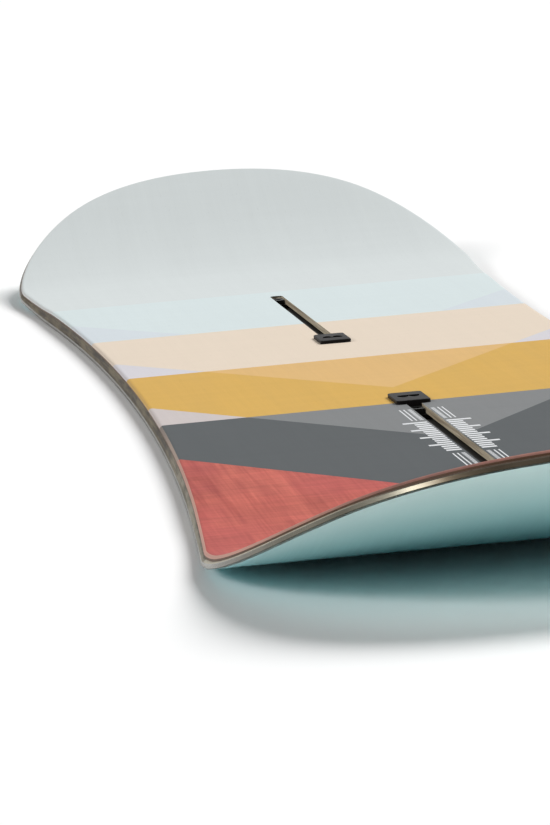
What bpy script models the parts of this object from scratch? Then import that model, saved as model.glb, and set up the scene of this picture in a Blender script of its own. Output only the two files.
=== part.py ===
"""Twin-tip snowboard with a slot channel for each binding. Metres, +Z up.

X runs along the board and Y across it. The origin is on the ground under the middle.
Every glued layer is laid out on a flat board first, as points (x, y, height above the
base), and on_board() bends that flat board to the side profile.
"""

import math

import bmesh
import bpy
from mathutils import Vector

# Space left between the faces of two pieces that touch
GAP = 0.0003

# Plan of the board. Its length adds up from the middle: channel, flat, rocker, tip
TIP_LENGTH = 0.188
WAIST_HALF_WIDTH = 0.125
WIDEST_HALF_WIDTH = 0.1465
SHOULDER_HANDLE = 0.030
NOSE_HANDLE = 0.147

# Side profile: flat under both channels, a slight rocker, then the upturned tip
FLAT_BEYOND_CHANNEL = 0.016
ROCKER_LENGTH = 0.120
ROCKER_RADIUS = 2.12
KICK_ARC_LENGTH = 0.139
KICK_RADIUS = 0.348

# Layers from the snow upwards
BASE_THICKNESS = 0.0012
LOWER_LAYER_THICKNESS = 0.0006
CORE_THICKNESS = 0.0053
TIP_CORE_THICKNESS = 0.0013
UPPER_LAMINATE_THICKNESS = 0.0006
TOPSHEET_THICKNESS = 0.0005
TAPER_BEYOND_CHANNEL = 0.011
TAPER_LENGTH = 0.160

# Steel edge, its foil and the sidewall, measured in from the board's outline
EDGE_WIDTH = 0.0020
EDGE_FLANGE_REACH = 0.0040
FOIL_WIDTH = 0.008
SIDEWALL_SETBACK = 0.0003
SIDEWALL_LEAN = 0.0012
SIDEWALL_WIDTH = 0.008
TOPSHEET_SETBACK = 0.0006
SPACER_BEYOND_CONTACT = 0.015

# The steel edge's joints lie this far inside the base's, which are where the flat ends
EDGE_JOINT_STAGGER = 0.030

# Core strips on each side of the middle one, equal at the waist
STRIPS_PER_SIDE = 4

# Sliding nut: a wide foot under the channel's lips and a threaded neck in the slot
NUT_LENGTH = 0.018
NUT_WIDTH = 0.014
NUT_SIDE_PLAY = 0.0004
NUT_NECK_SETBACK = 0.003
NUT_NECK_PLAY = 0.0005
NUT_NECK_WALL = 0.00075
NUT_BELOW_DECK = 0.0012
NUT_PARKING_GAP = 0.001
BORE_SIDES = 24

# Channel for the nuts, with an entry that a nut drops through
CHANNEL_INNER_X = 0.121
CHANNEL_LENGTH = 0.283
CHANNEL_FLOOR_THICKNESS = 0.0008
CHANNEL_LIP_THICKNESS = 0.0018
CHANNEL_WALL_THICKNESS = 0.0036
CHANNEL_STOP_LENGTH = 0.0065
SLOT_WIDTH = 0.0075
ENTRY_END_PLAY = 0.0035
ENTRY_SIDE_PLAY = 0.00025

# Cover over the channel's entry
COVER_END_OVERLAP = 0.004
COVER_SIDE_OVERLAP = 0.00125
COVER_HEIGHT = 0.0016
COVER_CHAMFER = 0.0004
COVER_CORNER_RADIUS = 0.0022
COVER_RECESS_LENGTH = 0.009
COVER_RECESS_WIDTH = 0.011
COVER_RECESS_DEPTH = 0.0006
CORNER_STEPS = 3

# Facets along the board
WAIST_STATIONS = 9
ROCKER_STATIONS = 4
TIP_STATIONS = 24
SLOT_END_SIDES = 12
CUT_MARGIN = 0.002

# Places along the board worked out from the sizes above
CHANNEL_OUTER_X = CHANNEL_INNER_X + CHANNEL_LENGTH
FLAT_HALF_LENGTH = CHANNEL_OUTER_X + FLAT_BEYOND_CHANNEL
CONTACT_HALF_LENGTH = FLAT_HALF_LENGTH + ROCKER_LENGTH
HALF_LENGTH = CONTACT_HALF_LENGTH + TIP_LENGTH
TAPER_START_X = CHANNEL_OUTER_X + TAPER_BEYOND_CHANNEL
SPACER_X = CONTACT_HALF_LENGTH + SPACER_BEYOND_CONTACT
BASE_JOINT_X = FLAT_HALF_LENGTH
EDGE_JOINT_X = BASE_JOINT_X - EDGE_JOINT_STAGGER
ENTRY_LENGTH = NUT_LENGTH + 2 * ENTRY_END_PLAY
ENTRY_INNER_X = CHANNEL_INNER_X + CHANNEL_STOP_LENGTH
ENTRY_OUTER_X = ENTRY_INNER_X + ENTRY_LENGTH
SLOT_OUTER_X = CHANNEL_OUTER_X - CHANNEL_STOP_LENGTH

# Places across it
EDGE_FLANGE_WIDTH = EDGE_WIDTH + EDGE_FLANGE_REACH
FOIL_INSET = EDGE_FLANGE_WIDTH + GAP
RIM_INSET = SIDEWALL_SETBACK + SIDEWALL_LEAN
ENTRY_WIDTH = NUT_WIDTH + 2 * ENTRY_SIDE_PLAY
CAVITY_HALF_WIDTH = NUT_WIDTH / 2 + NUT_SIDE_PLAY
CHANNEL_HALF_WIDTH = CAVITY_HALF_WIDTH + CHANNEL_WALL_THICKNESS
CORE_WAIST_HALF_WIDTH = WAIST_HALF_WIDTH - SIDEWALL_WIDTH - GAP
STRIP_PITCH = (CORE_WAIST_HALF_WIDTH - CHANNEL_HALF_WIDTH) / STRIPS_PER_SIDE

# Levels above the base
LOWER_LEVEL = BASE_THICKNESS + GAP
LOWER_TOP = LOWER_LEVEL + LOWER_LAYER_THICKNESS
CORE_LEVEL = LOWER_TOP + GAP
CHANNEL_TOP = CORE_LEVEL + CORE_THICKNESS
LIP_LEVEL = CHANNEL_TOP - CHANNEL_LIP_THICKNESS
FLOOR_TOP = CORE_LEVEL + CHANNEL_FLOOR_THICKNESS
CAVITY_LEVEL = FLOOR_TOP + GAP
DECK_LEVEL = CHANNEL_TOP + GAP + UPPER_LAMINATE_THICKNESS + GAP + TOPSHEET_THICKNESS

ENDS = {"nose": 1, "tail": -1}
HALVES = {"front": 1, "rear": -1}
SIDES = {"left": -1, "right": 1}


def clear_scene():
    for old in list(bpy.data.objects):
        bpy.data.objects.remove(old, do_unlink=True)


def srgb(red, green, blue):
    """A colour as seen, 0 to 255 a channel, turned into Blender's linear values."""
    seen = [value / 255 for value in (red, green, blue)]
    linear = [s / 12.92 if s <= 0.04045 else ((s + 0.055) / 1.055) ** 2.4 for s in seen]
    return (*linear, 1.0)


def finish(name, colour, roughness, metallic=0.0):
    material = bpy.data.materials.new(name)
    material.use_nodes = True
    shader = material.node_tree.nodes["Principled BSDF"]
    shader.inputs["Base Color"].default_value = colour
    shader.inputs["Roughness"].default_value = roughness
    shader.inputs["Metallic"].default_value = metallic
    material.diffuse_color = colour
    return material


FINISHES = {
    "topsheet": (srgb(200, 160, 110), 0.35, 0.0),
    "upper_laminate": (srgb(222, 198, 182), 0.5, 0.0),
    "core": (srgb(196, 165, 120), 0.7, 0.0),
    "lower_laminate": (srgb(200, 190, 165), 0.5, 0.0),
    "foil": (srgb(40, 40, 42), 0.8, 0.0),
    "sidewall": (srgb(82, 75, 66), 0.5, 0.0),
    "spacer": (srgb(190, 185, 164), 0.5, 0.0),
    "steel": (srgb(150, 150, 146), 0.3, 1.0),
    "base": (srgb(128, 172, 172), 0.3, 0.0),
    "channel": (srgb(132, 120, 108), 0.45, 0.0),
    "channel_stop": (srgb(40, 38, 38), 0.6, 0.0),
    "nut": (srgb(120, 120, 115), 0.35, 1.0),
    "cover": (srgb(45, 43, 43), 0.5, 0.0),
}


def base_height_and_slope(x):
    """Height of the base over the ground, and its slope, at x along the board."""
    reach = abs(x)
    rocker = max(min(reach, CONTACT_HALF_LENGTH) - FLAT_HALF_LENGTH, 0.0)
    height = rocker**2 / (2 * ROCKER_RADIUS)
    slope = rocker / ROCKER_RADIUS
    if reach > CONTACT_HALF_LENGTH:
        along = reach - CONTACT_HALF_LENGTH
        in_arc = min(along, KICK_ARC_LENGTH)
        height += slope * along + (in_arc**2 / 2 + in_arc * (along - in_arc)) / KICK_RADIUS
        slope += in_arc / KICK_RADIUS
    return height, math.copysign(slope, x)


def on_board(x, y, level):
    """The point at (x, y) and a level above the base, on the bent board."""
    height, slope = base_height_and_slope(x)
    stretch = math.hypot(1.0, slope)
    return Vector((x - level * slope / stretch, y, height + level / stretch))


def core_thickness(x):
    """Full under the channels, thinning to the tips."""
    share = min(max((abs(x) - TAPER_START_X) / TAPER_LENGTH, 0.0), 1.0)
    return CORE_THICKNESS + (TIP_CORE_THICKNESS - CORE_THICKNESS) * share


def core_top(x):
    return CORE_LEVEL + core_thickness(x)


def upper_laminate_bottom(x):
    return core_top(x) + GAP


def upper_laminate_top(x):
    return upper_laminate_bottom(x) + UPPER_LAMINATE_THICKNESS


def topsheet_bottom(x):
    return upper_laminate_top(x) + GAP


def topsheet_top(x):
    return topsheet_bottom(x) + TOPSHEET_THICKNESS


def constant(value):
    """A level that is the same all along the board."""
    return lambda x: value


def nose_quarter():
    """Outline from the waist to the nose, as (x, half width, normal) on the +Y side."""
    flare = (WIDEST_HALF_WIDTH - WAIST_HALF_WIDTH) / CONTACT_HALF_LENGTH**2
    flat = [FLAT_HALF_LENGTH * i / WAIST_STATIONS for i in range(WAIST_STATIONS)]
    rocker = [FLAT_HALF_LENGTH + ROCKER_LENGTH * i / ROCKER_STATIONS for i in range(ROCKER_STATIONS)]
    points = []
    for x in flat + rocker:
        normal = Vector((-2 * flare * x, 1.0)).normalized()
        points.append((Vector((x, WAIST_HALF_WIDTH + flare * x**2)), normal))

    widest = Vector((CONTACT_HALF_LENGTH, WIDEST_HALF_WIDTH))
    shoulder = widest + SHOULDER_HANDLE * Vector((1.0, 2 * flare * CONTACT_HALF_LENGTH))
    nose = Vector((HALF_LENGTH, 0.0))
    blunt = nose + Vector((0.0, NOSE_HANDLE))
    for i in range(TIP_STATIONS + 1):
        t = i / TIP_STATIONS
        s = 1 - t
        point = s**3 * widest + 3 * s**2 * t * shoulder + 3 * s * t**2 * blunt + t**3 * nose
        along = s**2 * (shoulder - widest) + 2 * s * t * (blunt - shoulder) + t**2 * (nose - blunt)
        points.append((point, Vector((-along.y, along.x)).normalized()))
    return points


def outline():
    """Outline from the tail to the nose on the +Y side."""
    quarter = nose_quarter()
    tail = [(Vector((-p.x, p.y)), Vector((-n.x, n.y))) for p, n in reversed(quarter[1:])]
    return tail + quarter


def side_path(start=None, end=None):
    """The outline's points and normals on the +Y side, whole or between two places."""
    points = outline()
    path = [
        (point, normal)
        for point, normal in points
        if (start is None or point.x > start + CUT_MARGIN) and (end is None or point.x < end - CUT_MARGIN)
    ]
    if start is not None:
        path.insert(0, place_at(points, start))
    if end is not None:
        path.append(place_at(points, end))
    return path


def place_at(points, x):
    """The outline's point and normal where it passes x."""
    for (before, before_normal), (after, after_normal) in zip(points, points[1:]):
        if before.x <= x <= after.x:
            share = (x - before.x) / (after.x - before.x)
            return before.lerp(after, share), before_normal.lerp(after_normal, share).normalized()
    raise ValueError(f"no outline at x = {x}")


def inset_points(inset, start=None, end=None):
    """The outline moved inwards. Its cut ends stay at the places they were cut at."""
    places = [point - normal * inset for point, normal in side_path(start, end)]
    if start is not None:
        places[0].x = start
    if end is not None:
        places[-1].x = end
    return places


def new_object(name, mesh, finish_name, location=(0.0, 0.0, 0.0)):
    thing = bpy.data.objects.new(name, mesh)
    thing.location = location
    thing.data.materials.append(finish(name, *FINISHES[finish_name]))
    bpy.context.scene.collection.objects.link(thing)
    return thing


def loft(name, sections, pointed_start=False, pointed_end=False):
    """Closed mesh through rings of points. A pointed end's last ring has no width."""
    shape = bmesh.new()
    rings = [[shape.verts.new(point) for point in section] for section in sections]
    count = len(rings[0])
    for ring, following in zip(rings, rings[1:]):
        for i in range(count):
            j = (i + 1) % count
            shape.faces.new((ring[i], ring[j], following[j], following[i]))
    if not pointed_start:
        shape.faces.new(rings[0])
    if not pointed_end:
        shape.faces.new(list(reversed(rings[-1])))
    if pointed_start or pointed_end:
        bmesh.ops.remove_doubles(shape, verts=shape.verts, dist=GAP / 100)
        bmesh.ops.dissolve_degenerate(shape, edges=shape.edges, dist=GAP / 100)
    bmesh.ops.recalc_face_normals(shape, faces=shape.faces)
    mesh = bpy.data.meshes.new(name)
    shape.to_mesh(mesh)
    shape.free()
    return mesh


def layer(name, finish_name, levels, insets, start=None, end=None, way=1):
    """Layer across the board, between two levels, each a function of x, with its own inset."""
    bottom, top = levels
    low_edge, high_edge = (inset_points(inset, start, end) for inset in insets)
    sections = []
    for low, high in zip(low_edge, high_edge):
        sections.append(
            (
                on_board(way * low.x, -low.y, bottom(low.x)),
                on_board(way * low.x, low.y, bottom(low.x)),
                on_board(way * high.x, high.y, top(high.x)),
                on_board(way * high.x, -high.y, top(high.x)),
            )
        )
    mesh = loft(name, sections, pointed_start=start is None, pointed_end=end is None)
    return new_object(name, mesh, finish_name)


def rim_strip(name, finish_name, path, section, way=1, side=1):
    """Strip along a stretch of the outline, its section given as (inset, level) points."""
    rings = []
    for point, normal in path:
        places = [(point - normal * inset, height) for inset, height in section]
        rings.append([on_board(way * place.x, side * place.y, height) for place, height in places])
    return new_object(name, loft(name, rings), finish_name)


def core_strip(name, finish_name, lines, way=1, side=1):
    """Strip of the core's thickness: its outer edge's bottom and top lines, and its inner edge."""
    rings = []
    for low, high, near in zip(*lines):
        rings.append(
            (
                on_board(way * low.x, side * low.y, CORE_LEVEL),
                on_board(way * high.x, side * high.y, core_top(high.x)),
                on_board(way * near.x, side * near.y, core_top(near.x)),
                on_board(way * near.x, side * near.y, CORE_LEVEL),
            )
        )
    return new_object(name, loft(name, rings), finish_name)


def block(name, low, high):
    """Box between two corners."""
    corners = [(low.x, low.y), (high.x, low.y), (high.x, high.y), (low.x, high.y)]
    return loft(name, [[Vector((x, y, z)) for x, y in corners] for z in (low.z, high.z)])


def extrude_along(name, profile, start, end):
    """Profile of (y, z) points carried along X."""
    return loft(name, [[Vector((x, y, z)) for y, z in profile] for x in (start, end)])


def rounded_rectangle(length, width, radius, height):
    """Ring of points with round corners, at a height."""
    ring = []
    centres = ((1, 1), (-1, 1), (-1, -1), (1, -1))
    for turn, (along, across) in enumerate(centres):
        for step in range(CORNER_STEPS + 1):
            angle = math.pi / 2 * (turn + step / CORNER_STEPS)
            x = along * (length / 2 - radius) + radius * math.cos(angle)
            y = across * (width / 2 - radius) + radius * math.sin(angle)
            ring.append(Vector((x, y, height)))
    return ring


def cut(thing, cutter):
    """Take the cutter's shape out of a piece, and hide the cutter."""
    cutter.hide_render = True
    cutter.display_type = "WIRE"
    cutter.hide_set(True)
    boolean = thing.modifiers.new("cut", "BOOLEAN")
    boolean.operation = "DIFFERENCE"
    boolean.solver = "EXACT"
    boolean.object = cutter


def guide(name, mesh):
    thing = bpy.data.objects.new(name, mesh)
    bpy.context.scene.collection.objects.link(thing)
    return thing


def upright_cutter(name, plan):
    """Cutter with a plan of (x, y) points, from the ground to well over the deck."""
    rings = [[Vector((x, y, z)) for x, y in plan] for z in (0.0, 2 * DECK_LEVEL)]
    return guide(name, loft(name, rings))


def slot_cutter(end, way):
    """Slot with a round outer end, and the wider entry at its inner end."""
    half = SLOT_WIDTH / 2
    centre = SLOT_OUTER_X - half
    plan = [(ENTRY_INNER_X, -ENTRY_WIDTH / 2), (ENTRY_OUTER_X, -ENTRY_WIDTH / 2), (ENTRY_OUTER_X, -half)]
    for step in range(SLOT_END_SIDES + 1):
        angle = math.pi * (step / SLOT_END_SIDES - 0.5)
        plan.append((centre + half * math.cos(angle), half * math.sin(angle)))
    plan += [(ENTRY_OUTER_X, half), (ENTRY_OUTER_X, ENTRY_WIDTH / 2), (ENTRY_INNER_X, ENTRY_WIDTH / 2)]
    return upright_cutter(f"{end}_slot_cutter", [(way * x, y) for x, y in plan])


def entry_cutter(end, way):
    """The entry alone, for the rails' lips."""
    half = ENTRY_WIDTH / 2
    corners = ((ENTRY_INNER_X, -half), (ENTRY_OUTER_X, -half), (ENTRY_OUTER_X, half), (ENTRY_INNER_X, half))
    return upright_cutter(f"{end}_entry_cutter", [(way * x, y) for x, y in corners])


def make_base():
    """Running base, butt-jointed at the middle and where its flat stretch ends."""
    levels = (constant(0.0), constant(BASE_THICKNESS))
    insets = (EDGE_WIDTH + GAP, EDGE_WIDTH + GAP)
    for name, way in HALVES.items():
        layer(f"base_{name}", "base", levels, insets, GAP / 2, BASE_JOINT_X - GAP / 2, way)
    for name, way in ENDS.items():
        layer(f"base_{name}", "base", levels, insets, BASE_JOINT_X + GAP / 2, None, way)


def make_laminates_and_topsheet():
    """Fibreglass under and over the core, and the topsheet, each over the whole board."""
    lower_inset = FOIL_INSET + FOIL_WIDTH + GAP
    lower_levels = (constant(LOWER_LEVEL), constant(LOWER_TOP))
    upper_levels = (upper_laminate_bottom, upper_laminate_top)
    topsheet_levels = (topsheet_bottom, topsheet_top)
    layer("lower_laminate", "lower_laminate", lower_levels, (lower_inset, lower_inset))
    upper = layer("upper_laminate", "upper_laminate", upper_levels, (RIM_INSET, RIM_INSET))
    top = layer("topsheet", "topsheet", topsheet_levels, (RIM_INSET, RIM_INSET + TOPSHEET_SETBACK))
    for end, way in ENDS.items():
        cutter = slot_cutter(end, way)
        cut(upper, cutter)
        cut(top, cutter)


def make_steel_edges():
    """Edge with an inward flange: a wrap round each tip and two lengths along each side."""
    section = (
        (0.0, 0.0),
        (0.0, LOWER_TOP),
        (EDGE_FLANGE_WIDTH, LOWER_TOP),
        (EDGE_FLANGE_WIDTH, LOWER_LEVEL),
        (EDGE_WIDTH, LOWER_LEVEL),
        (EDGE_WIDTH, 0.0),
    )
    length = side_path(GAP / 2, EDGE_JOINT_X - GAP / 2)
    for side_name, side in SIDES.items():
        for half_name, way in HALVES.items():
            rim_strip(f"steel_edge_{side_name}_{half_name}", "steel", length, section, way, side)

    to_nose = side_path(EDGE_JOINT_X + GAP / 2)
    other_side = [(Vector((p.x, -p.y)), Vector((n.x, -n.y))) for p, n in reversed(to_nose[:-1])]
    for name, way in ENDS.items():
        rim_strip(f"steel_edge_{name}", "steel", to_nose + other_side, section, way)


def make_edge_foils():
    """Rubber strip beside the edge's flange, one on each side, meeting at nose and tail."""
    far = FOIL_INSET + FOIL_WIDTH
    section = ((FOIL_INSET, LOWER_LEVEL), (FOIL_INSET, LOWER_TOP), (far, LOWER_TOP), (far, LOWER_LEVEL))
    clear_of_middle = Vector((0.0, GAP / 2))
    path = [(point + clear_of_middle, normal) for point, normal in side_path()]
    for name, side in SIDES.items():
        rim_strip(f"edge_foil_{name}", "foil", path, section, 1, side)


def make_sidewalls():
    """Sidewall above the steel edge, in two lengths on each side."""
    place = (GAP / 2, SPACER_X - GAP / 2)
    lines = [inset_points(inset, *place) for inset in (SIDEWALL_SETBACK, RIM_INSET, SIDEWALL_WIDTH)]
    for side_name, side in SIDES.items():
        for half_name, way in HALVES.items():
            core_strip(f"sidewall_{side_name}_{half_name}", "sidewall", lines, way, side)


def make_side_strips():
    """Wood strips on each side of the middle one. The outermost fills up to the sidewall."""
    end = SPACER_X - GAP / 2
    core_outside = inset_points(SIDEWALL_WIDTH + GAP, -end, end)
    for strip in range(STRIPS_PER_SIDE):
        inner_y = CHANNEL_HALF_WIDTH + GAP + strip * STRIP_PITCH
        inner = [Vector((place.x, inner_y)) for place in core_outside]
        outer = [Vector((place.x, inner_y + STRIP_PITCH - GAP)) for place in core_outside]
        if strip == STRIPS_PER_SIDE - 1:
            outer = core_outside
        for name, side in SIDES.items():
            core_strip(f"core_strip_{name}_{strip + 1}", "core", (outer, outer, inner), 1, side)


def make_middle_strip():
    """The core's middle strip, in three lengths because the channels interrupt it."""
    end = SPACER_X - GAP / 2
    lengths = {
        "core_strip_middle": (GAP - CHANNEL_INNER_X, CHANNEL_INNER_X - GAP),
        "core_strip_nose": (CHANNEL_OUTER_X + GAP, end),
        "core_strip_tail": (-end, -CHANNEL_OUTER_X - GAP),
    }
    for name, (start, stop) in lengths.items():
        stations = [place.x for place in inset_points(0.0, start, stop)]
        near = [Vector((x, -CHANNEL_HALF_WIDTH)) for x in stations]
        far = [Vector((x, CHANNEL_HALF_WIDTH)) for x in stations]
        core_strip(name, "core", (far, far, near))


def make_spacers():
    """Plastic spacer that takes the core's place in each tip."""
    levels = (constant(CORE_LEVEL), core_top)
    insets = (SIDEWALL_SETBACK, RIM_INSET)
    for end, way in ENDS.items():
        layer(f"{end}_spacer", "spacer", levels, insets, SPACER_X + GAP / 2, None, way)


def make_channel(end, way):
    """Floor strip, two lipped rails and a stop at each end, glued into the core."""
    start = way * CHANNEL_INNER_X
    channel_end = way * CHANNEL_OUTER_X
    floor_profile = (
        (-CHANNEL_HALF_WIDTH, CORE_LEVEL),
        (CHANNEL_HALF_WIDTH, CORE_LEVEL),
        (CHANNEL_HALF_WIDTH, FLOOR_TOP),
        (-CHANNEL_HALF_WIDTH, FLOOR_TOP),
    )
    name = f"{end}_channel_floor"
    new_object(name, extrude_along(name, floor_profile, start, channel_end), "channel")

    entry = entry_cutter(end, way)
    for side_name, side in SIDES.items():
        rail_profile = (
            (side * SLOT_WIDTH / 2, LIP_LEVEL),
            (side * CAVITY_HALF_WIDTH, LIP_LEVEL),
            (side * CAVITY_HALF_WIDTH, CAVITY_LEVEL),
            (side * CHANNEL_HALF_WIDTH, CAVITY_LEVEL),
            (side * CHANNEL_HALF_WIDTH, CHANNEL_TOP),
            (side * SLOT_WIDTH / 2, CHANNEL_TOP),
        )
        name = f"{end}_channel_rail_{side_name}"
        rail = new_object(name, extrude_along(name, rail_profile, start, channel_end), "channel")
        cut(rail, entry)

    stop_foot = CAVITY_HALF_WIDTH - GAP
    stop_neck = SLOT_WIDTH / 2 - GAP
    stop_profile = tee_profile(stop_foot, stop_neck, CAVITY_LEVEL, LIP_LEVEL - GAP, CHANNEL_TOP)
    places = {"inner": (start, way * ENTRY_INNER_X), "outer": (way * SLOT_OUTER_X, channel_end)}
    for place, (low, high) in places.items():
        name = f"{end}_channel_stop_{place}"
        new_object(name, extrude_along(name, stop_profile, low, high), "channel_stop")


def tee_profile(foot, neck, bottom, shoulder, top):
    """Upside-down T that fits the channel: a foot under the lips and a neck between them."""
    right = [(foot, bottom), (foot, shoulder), (neck, shoulder), (neck, top)]
    return right + [(-y, z) for y, z in reversed(right)]


def make_nut(name, x):
    """Nut with a wide foot under the channel's lips and a bored neck up in the slot."""
    foot = NUT_WIDTH / 2
    neck = SLOT_WIDTH / 2 - NUT_NECK_PLAY
    shoulder = LIP_LEVEL - GAP - CAVITY_LEVEL
    top = DECK_LEVEL - NUT_BELOW_DECK - CAVITY_LEVEL
    half = NUT_LENGTH / 2
    profile = tee_profile(foot, neck, 0.0, shoulder, top)
    nut = new_object(name, extrude_along(name, profile, -half, half), "nut", (x, 0.0, CAVITY_LEVEL))

    for way in (-1, 1):
        corner_name = f"{name}_end_cutter_{way}"
        low = Vector((way * (half - NUT_NECK_SETBACK), -foot, shoulder))
        high = Vector((way * NUT_LENGTH, foot, 2 * top))
        corner = guide(corner_name, block(corner_name, low, high))
        corner.parent = nut
        cut(nut, corner)

    bore_radius = neck - NUT_NECK_WALL
    bore = guide(f"{name}_bore_cutter", upright_cylinder(f"{name}_bore_cutter", bore_radius, 4 * top))
    bore.parent = nut
    cut(nut, bore)


def upright_cylinder(name, radius, depth):
    shape = bmesh.new()
    bmesh.ops.create_cone(
        shape, cap_ends=True, segments=BORE_SIDES, radius1=radius, radius2=radius, depth=depth
    )
    mesh = bpy.data.meshes.new(name)
    shape.to_mesh(mesh)
    shape.free()
    return mesh


def make_cover(name, x):
    """Cover with a chamfered top, a shallow recess, and a stem down into the entry."""
    length = ENTRY_LENGTH + 2 * COVER_END_OVERLAP
    width = ENTRY_WIDTH + 2 * COVER_SIDE_OVERLAP
    stem_bottom = CAVITY_LEVEL - DECK_LEVEL
    stem_length = ENTRY_LENGTH - 2 * GAP
    stem_width = ENTRY_WIDTH - 2 * GAP
    top_length = length - 2 * COVER_CHAMFER
    top_width = width - 2 * COVER_CHAMFER
    top = GAP + COVER_HEIGHT
    chamfer_level = top - COVER_CHAMFER
    stem_corner = GAP
    top_corner = COVER_CORNER_RADIUS - COVER_CHAMFER / 2
    recess_corner = COVER_RECESS_WIDTH / 4
    rings = [
        rounded_rectangle(stem_length, stem_width, stem_corner, stem_bottom),
        rounded_rectangle(stem_length, stem_width, stem_corner, GAP),
        rounded_rectangle(length, width, COVER_CORNER_RADIUS, GAP),
        rounded_rectangle(length, width, COVER_CORNER_RADIUS, chamfer_level),
        rounded_rectangle(top_length, top_width, top_corner, top),
        rounded_rectangle(COVER_RECESS_LENGTH, COVER_RECESS_WIDTH, recess_corner, top),
        rounded_rectangle(
            COVER_RECESS_LENGTH, COVER_RECESS_WIDTH, recess_corner, top - COVER_RECESS_DEPTH
        ),
    ]
    new_object(name, loft(name, rings), "cover", (x, 0.0, DECK_LEVEL))


def make_channel_fittings(end, way):
    """Two nuts, one parked at each end of the slot, and the entry's cover."""
    inner = ENTRY_OUTER_X + NUT_PARKING_GAP + NUT_LENGTH / 2
    outer = SLOT_OUTER_X - NUT_PARKING_GAP - NUT_LENGTH / 2
    make_nut(f"{end}_nut_inner", way * inner)
    make_nut(f"{end}_nut_outer", way * outer)
    make_cover(f"{end}_channel_cover", way * (ENTRY_INNER_X + ENTRY_OUTER_X) / 2)


def make_snowboard():
    clear_scene()
    make_base()
    make_laminates_and_topsheet()
    make_steel_edges()
    make_edge_foils()
    make_sidewalls()
    make_side_strips()
    make_middle_strip()
    make_spacers()
    for end, way in ENDS.items():
        make_channel(end, way)
        make_channel_fittings(end, way)


make_snowboard()
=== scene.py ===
# %% [markdown]
# A snowboard, dressed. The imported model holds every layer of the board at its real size, cut
# into plain facets. This lesson keeps those sizes, gives the layers that show a smooth
# surface, and gives every layer its finish: print, steel, plastic, wood and glass fibre.

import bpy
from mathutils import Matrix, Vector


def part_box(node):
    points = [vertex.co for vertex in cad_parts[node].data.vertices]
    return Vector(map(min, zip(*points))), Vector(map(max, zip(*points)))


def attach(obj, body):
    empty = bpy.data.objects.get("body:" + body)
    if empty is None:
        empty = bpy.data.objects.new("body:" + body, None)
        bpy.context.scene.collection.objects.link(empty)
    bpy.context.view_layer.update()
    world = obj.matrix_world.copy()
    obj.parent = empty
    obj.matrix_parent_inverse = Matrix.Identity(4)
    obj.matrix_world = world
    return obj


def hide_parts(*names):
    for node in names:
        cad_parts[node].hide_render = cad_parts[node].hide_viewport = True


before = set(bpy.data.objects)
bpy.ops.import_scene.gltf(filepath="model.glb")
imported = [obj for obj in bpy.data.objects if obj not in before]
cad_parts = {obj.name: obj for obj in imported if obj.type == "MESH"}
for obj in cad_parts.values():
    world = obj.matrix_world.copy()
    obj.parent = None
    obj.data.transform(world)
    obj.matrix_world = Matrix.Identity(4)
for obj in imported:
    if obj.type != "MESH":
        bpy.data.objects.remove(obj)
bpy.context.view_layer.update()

# %% Modules
import math

import bmesh
import bpy
from mathutils import Matrix, Vector

print("Blender", bpy.app.version_string)

# %% [markdown]
# The board's shape comes from a few sizes: how far it is flat, where it leaves the ground,
# and how its ends turn up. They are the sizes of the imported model. A smooth layer could be
# made by smoothing the faceted one, but that would pull it off its true outline. Working the
# same curves out again in finer steps keeps every point on the board's real surface.

# %% Sizes along the board
HALF_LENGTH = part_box("steel_edge_nose")[1].x
FLAT_HALF_LENGTH = 0.420
CONTACT_HALF_LENGTH = 0.540
ROCKER_RADIUS = 2.12
KICK_ARC_LENGTH = 0.139
KICK_RADIUS = 0.348
print("half length", round(HALF_LENGTH, 4), "flat to", FLAT_HALF_LENGTH)


# %% Side profile
def height_and_slope(x):
    """How high the base lies at x, and how steeply it climbs: flat, rocker, then the kick."""
    reach = abs(x)
    rocker = max(min(reach, CONTACT_HALF_LENGTH) - FLAT_HALF_LENGTH, 0.0)
    height = rocker**2 / (2 * ROCKER_RADIUS)
    slope = rocker / ROCKER_RADIUS
    if reach > CONTACT_HALF_LENGTH:
        along = reach - CONTACT_HALF_LENGTH
        in_arc = min(along, KICK_ARC_LENGTH)
        height += slope * along + (in_arc**2 / 2 + in_arc * (along - in_arc)) / KICK_RADIUS
        slope += in_arc / KICK_RADIUS
    return height, math.copysign(slope, x)


def on_board(x, y, rise):
    """A point of the flat board, at a rise over its base, carried to the bent board."""
    height, slope = height_and_slope(x)
    stretch = math.hypot(1.0, slope)
    return Vector((x - rise * slope / stretch, y, height + rise / stretch))


print("the base at the tip is", round(on_board(HALF_LENGTH, 0, 0).z, 4), "high")

# %% The core thins towards the tips
CORE_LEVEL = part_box("core_strip_middle")[0].z
CORE_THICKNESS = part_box("core_strip_middle")[1].z - CORE_LEVEL
TIP_CORE_THICKNESS = 0.0013
TAPER_START_X = 0.415
TAPER_LENGTH = 0.160


def core_top(x):
    share = min(max((abs(x) - TAPER_START_X) / TAPER_LENGTH, 0.0), 1.0)
    return CORE_LEVEL + CORE_THICKNESS + (TIP_CORE_THICKNESS - CORE_THICKNESS) * share


print("core top at the waist and the tip", round(core_top(0), 5), round(core_top(HALF_LENGTH), 5))

# %% Levels over the base, each a function of x
GAP = 0.0003
VENEER_THICKNESS = 0.0006
DECK_THICKNESS = 0.0005


def above_core(rise):
    return lambda x: core_top(x) + rise


def everywhere(value):
    return lambda x: value


def between(low, high, share):
    return lambda x: low(x) + (high(x) - low(x)) * share


veneer_top = above_core(GAP + VENEER_THICKNESS)
deck_top = above_core(GAP + VENEER_THICKNESS + GAP + DECK_THICKNESS)
print("deck at the waist and the tip", round(deck_top(0), 5), round(deck_top(HALF_LENGTH), 5))

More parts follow.
